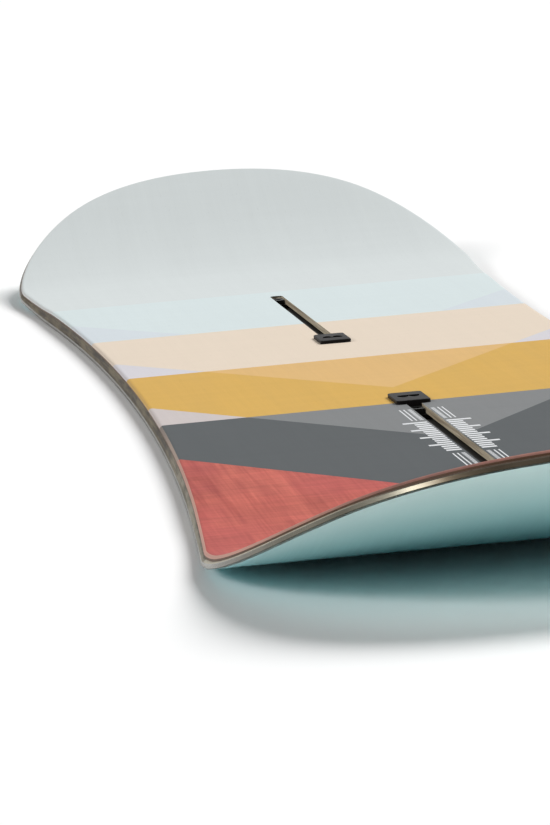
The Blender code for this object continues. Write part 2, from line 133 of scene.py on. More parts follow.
# %% Outline of one quarter, seen from above
WAIST_HALF_WIDTH = 0.125
WIDEST_HALF_WIDTH = 0.1465
SHOULDER_HANDLE = 0.030
NOSE_HANDLE = 0.147
WAIST_STEPS = 16
ROCKER_STEPS = 8
TIP_STEPS = 60


def nose_quarter():
    """Outline and outward normal from the waist to the nose: a parabola, then one bezier."""
    flare = (WIDEST_HALF_WIDTH - WAIST_HALF_WIDTH) / CONTACT_HALF_LENGTH**2
    flat = [FLAT_HALF_LENGTH * i / WAIST_STEPS for i in range(WAIST_STEPS)]
    rocker_length = CONTACT_HALF_LENGTH - FLAT_HALF_LENGTH
    rocker = [FLAT_HALF_LENGTH + rocker_length * i / ROCKER_STEPS for i in range(ROCKER_STEPS)]
    points = []
    for x in flat + rocker:
        normal = Vector((-2 * flare * x, 1.0)).normalized()
        points.append((Vector((x, WAIST_HALF_WIDTH + flare * x**2)), normal))

    widest = Vector((CONTACT_HALF_LENGTH, WIDEST_HALF_WIDTH))
    shoulder = widest + SHOULDER_HANDLE * Vector((1.0, 2 * flare * CONTACT_HALF_LENGTH))
    nose = Vector((HALF_LENGTH, 0.0))
    blunt = nose + Vector((0.0, NOSE_HANDLE))
    for i in range(TIP_STEPS + 1):
        t = i / TIP_STEPS
        s = 1 - t
        point = s**3 * widest + 3 * s**2 * t * shoulder + 3 * s * t**2 * blunt + t**3 * nose
        along = s**2 * (shoulder - widest) + 2 * s * t * (blunt - shoulder) + t**2 * (nose - blunt)
        points.append((point, Vector((-along.y, along.x)).normalized()))
    return points


print("widest", round(2 * max(point.y for point, _ in nose_quarter()), 4))

# %% Outline of a whole side
CUT_MARGIN = 0.001


def place_at(path, x):
    """The path's point and normal where it passes x."""
    for (before, before_normal), (after, after_normal) in zip(path, path[1:]):
        if before.x <= x <= after.x:
            share = (x - before.x) / (after.x - before.x)
            return before.lerp(after, share), before_normal.lerp(after_normal, share).normalized()
    raise ValueError(f"the outline doesn't pass x = {x}")


def side_path(start=None, end=None):
    """The outline's right side from tail to nose, whole or between two places."""
    quarter = nose_quarter()
    tail = [(Vector((-p.x, p.y)), Vector((-n.x, n.y))) for p, n in reversed(quarter[1:])]
    path = tail + quarter
    kept = [
        (p, n)
        for p, n in path
        if (start is None or p.x > start + CUT_MARGIN) and (end is None or p.x < end - CUT_MARGIN)
    ]
    for place, at in ((start, 0), (end, len(kept) + 1)):
        if place is not None:
            kept.insert(at, place_at(path, place))
    return kept


def whole_loop():
    """The outline all the way round, once."""
    right = side_path()
    left = [(Vector((p.x, -p.y)), Vector((n.x, -n.y))) for p, n in reversed(right[1:-1])]
    return right + left


print("points along one side", len(side_path()), "and all round", len(whole_loop()))

# %% [markdown]
# Two builders make every layer. A plate runs right across the board and closes at both rims.
# A strip follows the rim only, as the steel edge and the sidewalls do. Both are lofts: rings
# of points joined by quads, which keeps the mesh even and easy to shade smooth.

# %% Loft
MERGE = 0.000001


def object_from(name, shape):
    mesh = bpy.data.meshes.new(name)
    shape.to_mesh(mesh)
    shape.free()
    piece = bpy.data.objects.new(name, mesh)
    bpy.context.scene.collection.objects.link(piece)
    return piece


def loft(name, rings, closed=False):
    """Object whose mesh joins ring after ring. An open loft gets an end face at each end."""
    shape = bmesh.new()
    rows = [[shape.verts.new(point) for point in ring] for ring in rings]
    pairs = list(zip(rows, rows[1:])) + ([(rows[-1], rows[0])] if closed else [])
    for row, following in pairs:
        for i in range(len(row)):
            j = (i + 1) % len(row)
            shape.faces.new((row[i], row[j], following[j], following[i]))
    if not closed:
        shape.faces.new(rows[0])
        shape.faces.new(list(reversed(rows[-1])))
    bmesh.ops.remove_doubles(shape, verts=shape.verts, dist=MERGE)
    bmesh.ops.dissolve_degenerate(shape, edges=shape.edges, dist=MERGE)
    bmesh.ops.recalc_face_normals(shape, faces=shape.faces)
    return object_from(name, shape)


print("points closer than", MERGE, "m become one")

# %% Smooth shading
SHARP_ANGLE = math.radians(32)


def smooth(piece):
    """Shade smooth, but keep the corners that are corners on the real piece."""
    piece.data.shade_smooth()
    piece.data.set_sharp_from_angle(angle=SHARP_ANGLE)


print("corners over", round(math.degrees(SHARP_ANGLE)), "degrees stay sharp")

# %% Plates
COLUMNS = 12


def across(place, height, start, end):
    """A row of points over the board from one side to the other, without the last one."""
    steps = [start + (end - start) * i / COLUMNS for i in range(COLUMNS)]
    return [on_board(place.x, place.y * share, height(place.x)) for share in steps]


def plate(name, rim, start=None, end=None):
    """A layer right across the board. Its rim is (inset, level) points from the bottom up."""
    rings = []
    for point, normal in side_path(start, end):
        places = [(point - normal * inset, height) for inset, height in rim]
        for at, (place, _) in zip((start, end), (places[0], places[-1])):
            if at is not None and abs(point.x - at) < CUT_MARGIN / 2:
                for moved, _ in places:
                    moved.x = at
        low, high = places[0], places[-1]
        ring = across(*low, -1, 1)
        ring += [on_board(p.x, p.y, height(p.x)) for p, height in places[:-1]]
        ring += across(*high, 1, -1)
        ring += [on_board(p.x, -p.y, height(p.x)) for p, height in reversed(places[1:])]
        rings.append(ring)
    piece = loft(name, rings)
    smooth(piece)
    return piece


print("a plate has", COLUMNS, "columns across")


# %% Strips and rolled edges
def strip(name, section, path, side=1, closed=False):
    """A strip along the rim. Its section is a closed ring of (inset, level) points."""
    rings = []
    for point, normal in path:
        places = [(point - normal * inset, height) for inset, height in section]
        rings.append([on_board(p.x, side * p.y, height(p.x)) for p, height in places])
    piece = loft(name, rings, closed)
    smooth(piece)
    return piece


def quarter_round(reach, low, high, steps):
    """Rim points that start upright and roll over inwards by reach, from low to high."""
    turns = [math.pi / 2 * i / steps for i in range(steps + 1)]
    return [(reach * (1 - math.cos(turn)), between(low, high, math.sin(turn))) for turn in turns]


def report(piece, *nodes):
    """Print how far the piece's box lies from the box of the nodes that it replaces."""
    corners = [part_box(node) for node in nodes]
    low = [min(box[0][i] for box in corners) for i in range(3)]
    high = [max(box[1][i] for box in corners) for i in range(3)]
    own = [[v.co[i] for v in piece.data.vertices] for i in range(3)]
    off = max(max(abs(min(c) - a), abs(max(c) - b)) for c, a, b in zip(own, low, high))
    print(f"{piece.name}: {len(piece.data.polygons)} faces, box within {off * 1000:.2f} mm")


print("a quarter round of 8 steps has", len(quarter_round(1.0, deck_top, deck_top, 8)), "points")

# %% [markdown]
# The sheet that carries the print is rolled over at its rim and hides the top of the brown
# laminate under it, which in turn laps over the sidewall. A bevel modifier would round the rim
# too, but it would also nick the slots. Here the rim is a quarter of an ellipse in the loft
# itself, and the slots are cut afterwards with a boolean.

# %% Topsheet
RIM_INSET = 0.0015
ROLL_REACH = 0.0022
ROLL_DROP = 0.0016
ROLL_STEPS = 8
LAP_WIDTH = 0.0012


def below_deck(drop):
    return lambda x: deck_top(x) - drop


roll_foot = below_deck(ROLL_DROP)
roll = [
    (RIM_INSET + inset, height)
    for inset, height in quarter_round(ROLL_REACH, roll_foot, deck_top, ROLL_STEPS)
]
lap = RIM_INSET + LAP_WIDTH
printed_topsheet = plate("printed_topsheet", [(lap, veneer_top), (lap, roll_foot)] + roll)
report(printed_topsheet, "topsheet")

# %% Brown laminate at the rim
VENEER_RIM_HEIGHT = 0.0010
STEP_WIDTH = 0.0020

veneer_foot = below_deck(ROLL_DROP + VENEER_RIM_HEIGHT)
step = RIM_INSET + STEP_WIDTH
veneer_rim = [(step, core_top), (step, veneer_foot), (RIM_INSET, veneer_foot)]
veneer_rim += [(RIM_INSET, roll_foot), (lap, roll_foot), (lap, veneer_top)]
rim_veneer = plate("rim_veneer", veneer_rim)
report(rim_veneer, "upper_laminate")

# %% The slots, seen from above
SLOT_HALF_WIDTH = 0.00375
SLOT_OUTER_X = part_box("nose_channel_stop_outer")[0].x
ENTRY_INNER_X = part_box("nose_channel_stop_inner")[1].x
ENTRY_OUTER_X = 0.1525
ENTRY_HALF_WIDTH = 0.00725
SLOT_END_STEPS = 20


def slot_plan(way):
    """The wide entry for a nut, the slot, and its round outer end."""
    centre = SLOT_OUTER_X - SLOT_HALF_WIDTH
    plan = [(ENTRY_INNER_X, -ENTRY_HALF_WIDTH), (ENTRY_OUTER_X, -ENTRY_HALF_WIDTH)]
    plan.append((ENTRY_OUTER_X, -SLOT_HALF_WIDTH))
    for i in range(SLOT_END_STEPS + 1):
        turn = math.pi * (i / SLOT_END_STEPS - 0.5)
        plan.append((centre + SLOT_HALF_WIDTH * math.cos(turn), SLOT_HALF_WIDTH * math.sin(turn)))
    plan += [(ENTRY_OUTER_X, SLOT_HALF_WIDTH), (ENTRY_OUTER_X, ENTRY_HALF_WIDTH)]
    plan.append((ENTRY_INNER_X, ENTRY_HALF_WIDTH))
    return [(way * x, y) for x, y in plan]


print("slot from", round(ENTRY_INNER_X, 4), "to", round(SLOT_OUTER_X, 4))

# %% Cut the slots
CUTTER_TOP = 2 * deck_top(0.0)


def cut(piece, cutter):
    """Take the cutter's space out of the piece, and the cutter out of the scene."""
    boolean = piece.modifiers.new("cut", "BOOLEAN")
    boolean.operation = "DIFFERENCE"
    boolean.solver = "EXACT"
    boolean.object = cutter
    seen = piece.evaluated_get(bpy.context.evaluated_depsgraph_get())
    made = bpy.data.meshes.new_from_object(seen)
    piece.modifiers.clear()
    piece.data = made
    bpy.data.objects.remove(cutter)


for piece in (printed_topsheet, rim_veneer):
    for way in (1, -1):
        rings = [[Vector((x, y, z)) for x, y in slot_plan(way)] for z in (0.0, CUTTER_TOP)]
        cut(piece, loft("slot_cutter", rings))
    smooth(piece)
    print(piece.name, "with slots:", len(piece.data.polygons), "faces")

# %% [markdown]
# A cover plugs the wide end of a slot, where a nut goes in. It is a thin moulded plate with
# round corners and a finger hollow of two lobes. The plate's edge could be left square, but a
# moulded edge is always rounded, and that round is what catches the light.

# %% Cover plate, without its hollow
COVER_CORNER = 0.0022
COVER_ROUND = 0.0005
CORNER_STEPS = 8


def rounded_ring(centre, half_x, half_y, corner, height):
    """A ring of points round a rectangle with round corners."""
    ring = []
    for quarter, (way_x, way_y) in enumerate(((1, 1), (-1, 1), (-1, -1), (1, -1))):
        middle = Vector((way_x * (half_x - corner), way_y * (half_y - corner)))
        for i in range(CORNER_STEPS + 1):
            turn = math.pi / 2 * (quarter + i / CORNER_STEPS)
            at = centre + middle + corner * Vector((math.cos(turn), math.sin(turn)))
            ring.append(Vector((at.x, at.y, height)))
    return ring


def cover_body(name, centre, low, high):
    """A plate from low to high whose top edge is rounded."""
    half_x, half_y = (high.x - low.x) / 2, (high.y - low.y) / 2
    rings = [rounded_ring(centre, half_x, half_y, COVER_CORNER, low.z)]
    for i in range(CORNER_STEPS + 1):
        turn = math.pi / 2 * i / CORNER_STEPS
        inset = COVER_ROUND * (1 - math.cos(turn))
        height = high.z - COVER_ROUND * (1 - math.sin(turn))
        sizes = (half_x - inset, half_y - inset, COVER_CORNER - inset)
        rings.append(rounded_ring(centre, *sizes, height))
    return loft(name, rings)


print("points round a cover", len(rounded_ring(Vector((0, 0)), 1, 1, COVER_CORNER, 0)))

# %% Finger hollow, seen from above
HOLLOW_LENGTH = 0.0078
HOLLOW_WIDTH = 0.011
HOLLOW_DEPTH = 0.0006
LOBE_STEPS = 24
LOBE_NECK = 0.35
LOBE_FULLNESS = 0.7


def hollow_plan(centre, way):
    """One straight side, and one of two lobes with a neck between them."""
    plan = []
    for i in range(LOBE_STEPS + 1):
        share = i / LOBE_STEPS
        wave = abs(math.sin(2 * math.pi * share)) ** LOBE_FULLNESS
        bulge = LOBE_NECK + (1 - LOBE_NECK) * wave
        y = HOLLOW_WIDTH * (share - 0.5)
        plan.append((centre.x + way * HOLLOW_LENGTH * (bulge - 0.5), centre.y + y))
    back = centre.x - way * HOLLOW_LENGTH / 2
    return plan + [(back, centre.y + HOLLOW_WIDTH / 2), (back, centre.y - HOLLOW_WIDTH / 2)]


print("hollow", HOLLOW_LENGTH, "by", HOLLOW_WIDTH, "and", HOLLOW_DEPTH, "deep")


# %% Channel covers
def channel_cover(end, way):
    low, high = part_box(f"{end}_channel_cover")
    centre = Vector(((low.x + high.x) / 2, (low.y + high.y) / 2))
    piece = cover_body(f"{end}_cover_plate", centre, low, high)
    levels = (high.z - HOLLOW_DEPTH, high.z + HOLLOW_DEPTH)
    plan = hollow_plan(centre, way)
    cut(piece, loft("hollow_cutter", [[Vector((x, y, z)) for x, y in plan] for z in levels]))
    smooth(piece)
    report(piece, f"{end}_channel_cover")
    return piece


nose_cover_plate = channel_cover("nose", 1)
tail_cover_plate = channel_cover("tail", -1)

# %% [markdown]
# Under the topsheet the rim is four things: the plastic sidewall between the contact areas,
# the tip spacer past them, the steel edge all the way round, and the base that it frames. The
# steel is one bent wire on the real board, so here it is one closed strip, with its inward
# flange and with small chamfers where a file has passed.

# %% Sidewalls
SIDEWALL_SETBACK = 0.0003
SIDEWALL_WIDTH = 0.008
SPACER_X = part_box("sidewall_left_front")[1].x
EDGE_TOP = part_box("steel_edge_left_front")[1].z
LEAN = RIM_INSET - SIDEWALL_SETBACK
LEAN_STEPS = 4

lean = [
    (SIDEWALL_SETBACK + inset, height)
    for inset, height in quarter_round(LEAN, everywhere(EDGE_TOP), veneer_foot, LEAN_STEPS)
]
lean += [(step, veneer_foot), (step, core_top)]
inner_face = [(SIDEWALL_WIDTH, core_top), (SIDEWALL_WIDTH, everywhere(EDGE_TOP))]
sidewalls = []
for side_name, side in (("left", -1), ("right", 1)):
    wall = strip(f"sidewall_{side_name}", lean + inner_face, side_path(-SPACER_X, SPACER_X), side)
    report(wall, f"sidewall_{side_name}_front", f"sidewall_{side_name}_rear")
    sidewalls.append(wall)

# %% Tip spacers
nose_tip = plate("nose_tip_spacer", lean, start=SPACER_X)
tail_tip = plate("tail_tip_spacer", lean, end=-SPACER_X)
report(nose_tip, "nose_spacer")
report(tail_tip, "tail_spacer")

# %% Steel edge
EDGE_WIDTH = 0.002
EDGE_FLANGE_WIDTH = 0.006
EDGE_LEDGE = 0.0015
EDGE_CHAMFER = 0.00025
EDGE_NODES = [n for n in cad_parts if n.startswith("steel_edge_")]
EDGE_SECTION = (
    (EDGE_CHAMFER, 0.0),
    (0.0, EDGE_CHAMFER),
    (0.0, EDGE_TOP - EDGE_CHAMFER),
    (EDGE_CHAMFER, EDGE_TOP),
    (EDGE_FLANGE_WIDTH, EDGE_TOP),
    (EDGE_FLANGE_WIDTH, EDGE_LEDGE),
    (EDGE_WIDTH, EDGE_LEDGE),
    (EDGE_WIDTH, 0.0),
)
edge_section = [(inset, everywhere(height)) for inset, height in EDGE_SECTION]
steel_edge = strip("steel_edge_loop", edge_section, whole_loop(), closed=True)
report(steel_edge, *EDGE_NODES)

# %% Running base
BASE_NODES = [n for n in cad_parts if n.startswith("base_")]
base_rim = [(EDGE_WIDTH, everywhere(height)) for height in (0.0, EDGE_LEDGE)]
running_base = plate("running_base", base_rim)
report(running_base, *BASE_NODES)

# %% [markdown]
# A finish is a small network of shader nodes. Written as node calls it hides what it does, so
# one class here wraps a number that a shader works out and lets plain arithmetic build the
# nodes. A second class makes every node by one method, and a third is one material.


# %% Shader arithmetic
class Value:
    """A number worked out by a shader, used in ordinary arithmetic."""

    def __init__(self, network, socket):
        self.network = network
        self.socket = socket

    def __add__(self, other):
        return self.network.maths("ADD", self, other)

    __radd__ = __add__

    def __sub__(self, other):
        return self.network.maths("SUBTRACT", self, other)

    def __rsub__(self, other):
        return self.network.maths("SUBTRACT", other, self)

    def __mul__(self, other):
        return self.network.maths("MULTIPLY", self, other)

    __rmul__ = __mul__

    def __truediv__(self, other):
        return self.network.maths("DIVIDE", self, other)

    def __rtruediv__(self, other):
        return self.network.maths("DIVIDE", other, self)

    def __gt__(self, other):
        return self.network.maths("GREATER_THAN", self, other)

    def __lt__(self, other):
        return self.network.maths("LESS_THAN", self, other)

    def __abs__(self):
        return self.network.maths("ABSOLUTE", self)

    def most(self, other):
        return self.network.maths("MAXIMUM", self, other)

    def squared(self):
        return self.network.maths("POWER", self, 2.0)

    def sine(self):
        return self.network.maths("SINE", self)

    def fraction(self):
        return self.network.maths("FRACT", self)

    def ramp(self, low, high):
        """0 below low, 1 above high, straight between."""
        return self.network.maths("ADD", (self - low) / (high - low), 0.0, clamp=True)


def tools(kind):
    """The names of what a class can do."""
    return [name for name in vars(kind) if not name.startswith("_")]


print("a value has arithmetic and", tools(Value))


# %% Nodes
class Network:
    """The nodes of a material or a sky."""

    def __init__(self, tree):
        self.tree = tree

    def node(self, kind, settings=None, inputs=None):
        made = self.tree.nodes.new(kind)
        for key, value in (settings or {}).items():
            setattr(made, key, value)
        for key, value in (inputs or {}).items():
            self.feed(made.inputs[key], value)
        return made

    def feed(self, socket, value):
        if isinstance(value, Value):
            value = value.socket
        if isinstance(value, bpy.types.NodeSocket):
            self.tree.links.new(value, socket)
        else:
            socket.default_value = value

    def maths(self, operation, *inputs, clamp=False):
        settings = {"operation": operation, "use_clamp": clamp}
        node = self.node("ShaderNodeMath", settings, dict(enumerate(inputs)))
        return Value(self, node.outputs[0])


print("a network has", tools(Network))

# %% One finish
MIX_SHARE, MIX_FIRST, MIX_SECOND, MIX_COLOUR = 0, 6, 7, 2


class Finish(Network):
    """One material, with what its shader needs close at hand."""

    def __init__(self, name, **constants):
        self.material = bpy.data.materials.new(name)
        self.material.use_nodes = True
        super().__init__(self.material.node_tree)
        self.surface = self.tree.nodes["Principled BSDF"]
        self.point = self.node("ShaderNodeTexCoord").outputs["Object"]
        split = self.node("ShaderNodeSeparateXYZ", None, {0: self.point})
        self.x, self.y = (Value(self, output) for output in split.outputs[:2])
        for socket, constant in constants.items():
            self.surface.inputs[socket.replace("_", " ")].default_value = constant

    def noise(self, stretch, detail=3.0, roughness=0.55, shift=0.0):
        """Noise from 0 to 1 over the piece; stretch is how many times it varies in a metre."""
        settings = {"operation": "MULTIPLY_ADD"}
        inputs = {0: self.point, 1: stretch, 2: (shift, shift, shift)}
        scaled = self.node("ShaderNodeVectorMath", settings, inputs).outputs[0]
        inputs = {"Vector": scaled, "Scale": 1.0, "Detail": detail, "Roughness": roughness}
        return Value(self, self.node("ShaderNodeTexNoise", None, inputs).outputs["Fac"])

    def mix(self, share, first, second):
        """Colour that turns from first to second as share goes from 0 to 1."""
        settings = {"data_type": "RGBA", "clamp_factor": True}
        inputs = {MIX_SHARE: share, MIX_FIRST: first, MIX_SECOND: second}
        return self.node("ShaderNodeMix", settings, inputs).outputs[MIX_COLOUR]

    def shade(self, colour, factor):
        """The colour, made lighter or darker by factor."""
        inputs = {0: colour, "Scale": factor}
        return self.node("ShaderNodeVectorMath", {"operation": "SCALE"}, inputs).outputs[0]

    def colour(self, colour):
        self.feed(self.surface.inputs["Base Color"], colour)

    def roughness(self, share, low, high):
        """Roughness from low to high as share goes from 0 to 1."""
        self.feed(self.surface.inputs["Roughness"], low + (high - low) * share)

    def bump(self, height, depth):
        """Raise and lower the surface by up to depth metres as height goes from 0 to 1."""
        inputs = {"Height": height, "Distance": depth, "Strength": 1.0}
        made = self.node("ShaderNodeBump", None, inputs)
        self.feed(self.surface.inputs["Normal"], made.outputs["Normal"])


print("a finish has", tools(Finish))


# %% Inks
def ink(red, green, blue):
    """A colour given as it looks on a screen, 0 to 255, as the light it stands for."""
    def light(shown):
        shown = shown / 255
        return shown / 12.92 if shown <= 0.04045 else ((shown + 0.055) / 1.055) ** 2.4

    return (light(red), light(green), light(blue), 1.0)


print("a middle grey is", round(ink(128, 128, 128)[0], 3), "of white's light")

# %% [markdown]
# The deck's print is bands of plain colour across the board, crossed by chevrons that point
# to the nose, over a wood grain that runs from tip to tail. On the real sheet it is printed on
# the underside of a clear plastic, so the colour has no relief of its own. The shader works
# the bands out from x and the chevrons from x and the distance from the centre line, which
# keeps every border sharp at any size, and an image could not do that.

# %% Borders of the print
PALE_TIP_BORDER_X = -0.425
ICE_BORDER_X = -0.2335
PEACH_BORDER_X = -0.0505
MUSTARD_BORDER_X = 0.148
BAND_BORDERS_X = (PALE_TIP_BORDER_X, ICE_BORDER_X, PEACH_BORDER_X, MUSTARD_BORDER_X)
BORDER_LEAN = 0.05
CHEVRON_PITCH = 0.1995
FIRST_CHEVRON_X = 0.087
CHEVRON_RISE = 0.61


def chevrons(finish):
    """For each of the four chevrons from the tail on, 1 on its nose side and 0 behind it."""
    ahead = finish.x + abs(finish.y) / CHEVRON_RISE
    return [ahead > FIRST_CHEVRON_X + CHEVRON_PITCH * i for i in (-1, 0, 1, 2)]


lengths = [after - before for before, after in zip(BAND_BORDERS_X, BAND_BORDERS_X[1:])]
print("lengths of the middle bands", [round(length, 4) for length in lengths])

# %% Ruler marks beside the front slot
MARK_START_X = 0.224
MARK_PITCH = 0.0066
MARK_COUNT = 16
MARK_SHARE = 0.62
MARK_INNER_Y = 0.0046
SHORT_MARK = 0.0070
LONG_MARK = 0.0118
MARKS_PER_LONG = 4
GUIDE_SPANS = ((0.176, 0.218), (0.336, 0.378))
GUIDES_Y = ((0.0080, 0.0087), (0.0101, 0.0108))
FINE_Y = (0.0048, 0.0066)
FINE_PITCH = 0.0021
FINE_SHARE = 0.55


def within(value, *spans):
    """1 where the value lies in one of the spans, which don't overlap."""
    return sum((value > low) * (value < high) for low, high in spans)


def stance_marks(finish):
    """1 on the marks, 0 elsewhere."""
    reach = abs(finish.y)
    count = (finish.x - MARK_START_X) / MARK_PITCH
    on_mark = count.fraction() < MARK_SHARE
    is_long = (count / MARKS_PER_LONG).fraction() < 1 / MARKS_PER_LONG
    length = SHORT_MARK + (LONG_MARK - SHORT_MARK) * is_long
    beside = (reach > MARK_INNER_Y) * (length + MARK_INNER_Y > reach)
    marks = on_mark * beside * within(count, (0.0, MARK_COUNT))
    fine = within(reach, FINE_Y) * ((finish.x / FINE_PITCH).fraction() < FINE_SHARE)
    return marks + within(finish.x, *GUIDE_SPANS) * (within(reach, *GUIDES_Y) + fine)


print("marks", MARK_COUNT, "over", round(MARK_COUNT * MARK_PITCH, 4))

# %% Red wood
VEIN_SHARE = 0.55
VEIN_RAMP = (0.60, 0.76)
TINT_SHARE = 0.5
TINT_RAMP = (0.45, 0.62)
WOOD_LIGHT = 1.03
CROSS_CONTRAST = 0.55
CLOUD_CONTRAST = 0.45
NOISE_MIDDLE = 0.5


def red_wood(finish, streak, middle):
    """The wood at the nose: grain, dark veins, tinted patches, and figure across the grain."""
    wood = finish.mix(streak, ink(150, 66, 60), ink(196, 106, 92))
    wood = finish.mix(middle.ramp(*VEIN_RAMP) * VEIN_SHARE, wood, ink(116, 46, 44))
    tint = finish.noise((9.0, 16.0, 1.0), detail=2.0, roughness=0.5, shift=15.0)
    wood = finish.mix(tint.ramp(*TINT_RAMP) * TINT_SHARE, wood, ink(178, 84, 84))
    cross = finish.noise((230.0, 34.0, 1.0), detail=3.0, roughness=0.6, shift=19.0) - NOISE_MIDDLE
    cloud = finish.noise((30.0, 40.0, 1.0), detail=2.0, roughness=0.5, shift=23.0) - NOISE_MIDDLE
    return finish.shade(wood, WOOD_LIGHT + CROSS_CONTRAST * cross + CLOUD_CONTRAST * cloud)


print("the figure moves the wood by up to", (CROSS_CONTRAST + CLOUD_CONTRAST) / 2)


# %% Colour bands
def bands(finish, wood):
    """The colour at each place, band after band from the tail to the nose."""
    first, second, third, fourth = chevrons(finish)
    ice = finish.mix(first, ink(211, 222, 223), ink(208, 216, 221))
    peach = finish.mix(second, ink(225, 210, 192), ink(210, 207, 212))
    mustard = finish.mix(second, ink(216, 177, 117), ink(208, 167, 86))
    mustard = finish.mix(third, mustard, ink(200, 191, 189))
    grey = finish.mix(third, ink(123, 125, 126), ink(79, 83, 85))
    grey = finish.mix(fourth, grey, wood)
    leaning = finish.x + BORDER_LEAN * finish.y
    colour = ink(211, 217, 217)
    for border, band in zip(BAND_BORDERS_X, (ice, peach, mustard, grey)):
        colour = finish.mix(leaning > border, colour, band)
    return colour


print("bands", len(BAND_BORDERS_X) + 1)

# %% [markdown]
# The rolled rim of the real sheet is rubbed, most on the front half, and shows the bare sheet
# through the print. It could be one more plain colour, but that would look like a painted
# line. So it is the same print with a share of the bare sheet's colour mixed in, and the
# rim's faces take it as a second finish. That colour has painted light and shade in it: pale
# towards the left side of the board and darker towards the right.

# %% Printed deck, plain and worn
FINE_WEIGHT, MIDDLE_WEIGHT, BROAD_WEIGHT = 0.25, 0.35, 0.4
STREAK_RAMP = (0.36, 0.62)
FLECK_RAMP = (0.66, 0.74)
REAR_GRAIN = 0.03
FRONT_GRAIN = 0.04
FLECK_DEPTH = 0.06
WEAR_REAR = 0.12
WEAR_FRONT = 0.48
WEAR_X = (0.12, 0.22)
RIM_LIGHT_Y = (-0.138, -0.095)
SURFACE_TOOTH = 0.00001


def deck_print(name, wear_and_light):
    """The print. Wear and light from 0 to 1 show the worn rim of the sheet through it, with its
    painted light and shade.
    """
    finish = Finish(name, Specular_IOR_Level=0.03)
    fine = finish.noise((14.0, 700.0, 1.0), detail=4.0, roughness=0.6)
    middle = finish.noise((6.0, 190.0, 1.0), detail=4.0, roughness=0.6, shift=3.0)
    broad = finish.noise((4.5, 48.0, 1.0), detail=3.0, roughness=0.55, shift=7.0)
    grain = fine * FINE_WEIGHT + middle * MIDDLE_WEIGHT + broad * BROAD_WEIGHT
    streak = grain.ramp(*STREAK_RAMP)
    fleck = finish.noise((150.0, 900.0, 1.0), detail=2.0, roughness=0.5, shift=11.0)
    figure = finish.noise((90.0, 9.0, 1.0), detail=2.0, roughness=0.5, shift=5.0)

    colour = bands(finish, red_wood(finish, streak, middle))
    contrast = REAR_GRAIN + FRONT_GRAIN * (finish.x > PEACH_BORDER_X)
    darker = FLECK_DEPTH * fleck.ramp(*FLECK_RAMP)
    colour = finish.shade(colour, 1.0 + contrast * (streak + figure - 1.0) - darker)
    colour = finish.mix(stance_marks(finish), colour, ink(224, 226, 228))
    # Painted light and shade: the bare colour is pale towards the left side of the board and darker
    # towards the right
    bare_lit_and_shaded = finish.mix(finish.y.ramp(*RIM_LIGHT_Y), ink(218, 190, 172), ink(136, 126, 116))
    shown = wear_and_light * (WEAR_REAR + WEAR_FRONT * finish.x.ramp(*WEAR_X))
    finish.colour(finish.mix(shown, colour, bare_lit_and_shaded))
    finish.roughness(broad, 0.50, 0.60)
    finish.bump(finish.noise((900.0, 900.0, 900.0), detail=2.0), SURFACE_TOOTH)
    return finish.material


plain_print = deck_print("deck_print", 0.0)
worn_and_lit_print = deck_print("deck_print_rim", 1.0)
print("nodes in the print", len(plain_print.node_tree.nodes))

# %% [markdown]
# Moulded and sawn plastic, wood and metal have no pattern of their own, but none is one flat
# colour: rubbing, dust and the cutter leave a fine mottle. One helper makes such a finish from
# one stretched noise that moves the colour between two inks and the roughness with it.

# %% Finishes of one noise
CONTRAST = (0.3, 0.7)


def two_tone(name, noise, inks, roughness, contrast=None, depth=0.0, **constants):
    """A finish whose one noise runs between two inks, and from the low to the high roughness."""
    finish = Finish(name, **constants)
    rub = finish.noise(**noise)
    finish.colour(finish.mix(rub.ramp(*contrast) if contrast else rub, *inks))
    finish.roughness(rub, *roughness)
    if depth:
        finish.bump(rub, depth)
    return finish.material


brown_veneer = two_tone(
    "brown_veneer",
    dict(stretch=(25.0, 25.0, 2500.0), detail=4.0),
    (ink(70, 48, 34), ink(98, 72, 52)),
    (0.45, 0.65),
    CONTRAST,
    Specular_IOR_Level=0.2,
)
print("made", brown_veneer.name)

# %% [markdown]
# The rim shows more of the board's making than the deck does. The spacer is pale plastic with
# the marks of the saw along it, and a darker brown copy of it is painted as shade over the nose
# from a little left of its middle rightwards. The tail spacer is brown all over. The sidewall
# is dark at the tail and paler towards the nose, which is painted light. Both are noise drawn
# out along the rim, and where the tone changes, a second noise breaks the border up, as a
# straight one would look painted.

# %% Spacer finish
SPACER_SHADE_Y = (-0.112, -0.085)
SPACER_SHADE_WANDER = 0.03


def beige_spacer():
    finish = Finish("beige_spacer", Specular_IOR_Level=0.2)
    milled = finish.noise((40.0, 40.0, 3000.0), detail=3.0)
    shade_border_noise = finish.noise((30.0, 30.0, 30.0), detail=3.0, roughness=0.6, shift=2.0)
    beige = finish.mix(milled.ramp(*CONTRAST), ink(152, 143, 120), ink(180, 171, 148))
    brown = finish.mix(milled.ramp(*CONTRAST), ink(62, 48, 35), ink(86, 70, 53))
    # Painted shade: the darker brown copy covers the nose from a little left of its middle
    # rightwards, and the whole tail spacer
    painted_shade_across_nose = (finish.y + SPACER_SHADE_WANDER * (shade_border_noise - NOISE_MIDDLE)).ramp(*SPACER_SHADE_Y)
    finish.colour(finish.mix(painted_shade_across_nose.most(finish.x < 0.0), beige, brown))
    finish.roughness(milled, 0.30, 0.50)
    finish.bump(milled, 0.00002)
    return finish.material


spacer_finish = beige_spacer()
print("made", spacer_finish.name)

# %% Sidewall finish
STREAKS_SHARE = 0.5
WALL_RAMP = (0.43, 0.57)
LIT_WALL_X = (0.17, 0.36)
LIT_WALL_WANDER = 0.12


